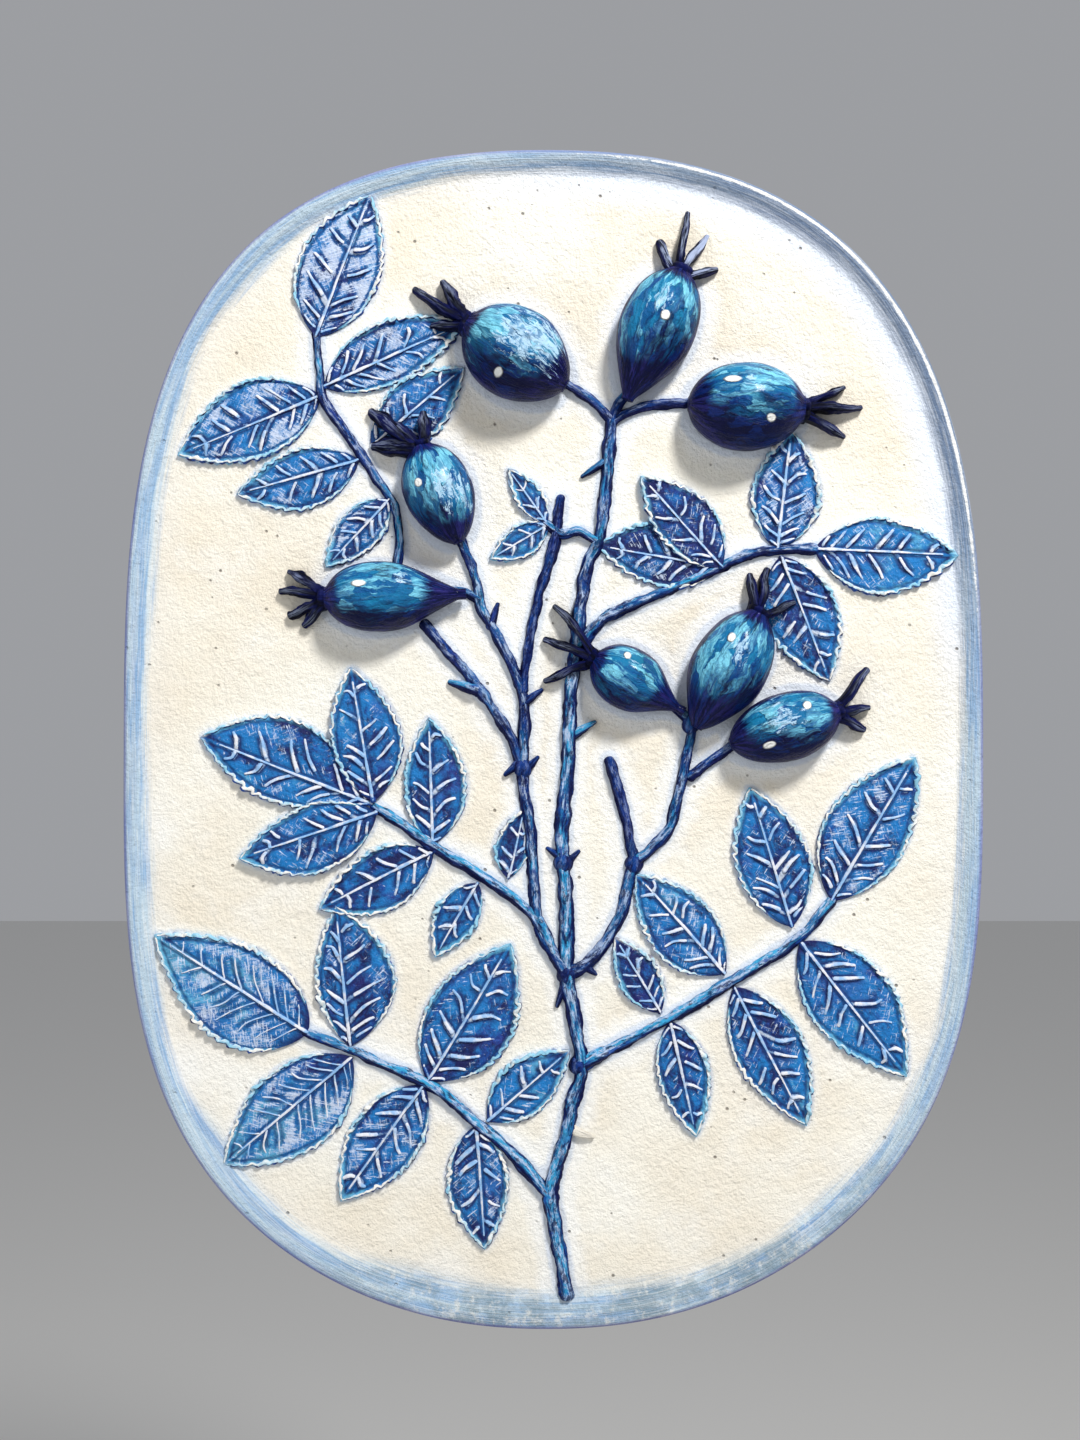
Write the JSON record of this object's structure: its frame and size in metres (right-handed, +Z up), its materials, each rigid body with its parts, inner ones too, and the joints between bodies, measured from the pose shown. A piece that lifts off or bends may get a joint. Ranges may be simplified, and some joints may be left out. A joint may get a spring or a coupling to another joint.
{
  "type": "relief wall plaque",
  "caption": "Oval cast-plaster wall plaque with a low raised rim and a rose-hip branch in relief, painted blue on cream.",
  "frame": {"origin": "middle of the flat back, where the plaque lies against the wall", "axes": "+Z up the plaque, +Y out of the back into the wall, -Y out of the carved face, +X to the right as seen from the front"},
  "size_m": [0.1751, 0.0267, 0.24],
  "materials": {
    "plaster": "matt cast plaster, warm cream",
    "rim_blue": "matt sky-blue brushed paint on plaster",
    "leaf_blue": "matt ultramarine paint with a white dry-brushed relief",
    "stem_blue": "satin navy paint with turquoise strokes",
    "hip_blue": "glossy varnished indigo and teal paint"
  },
  "bodies": {
    "root": {"relief_plaque": "plaster"}
  },
  "joints": []
}
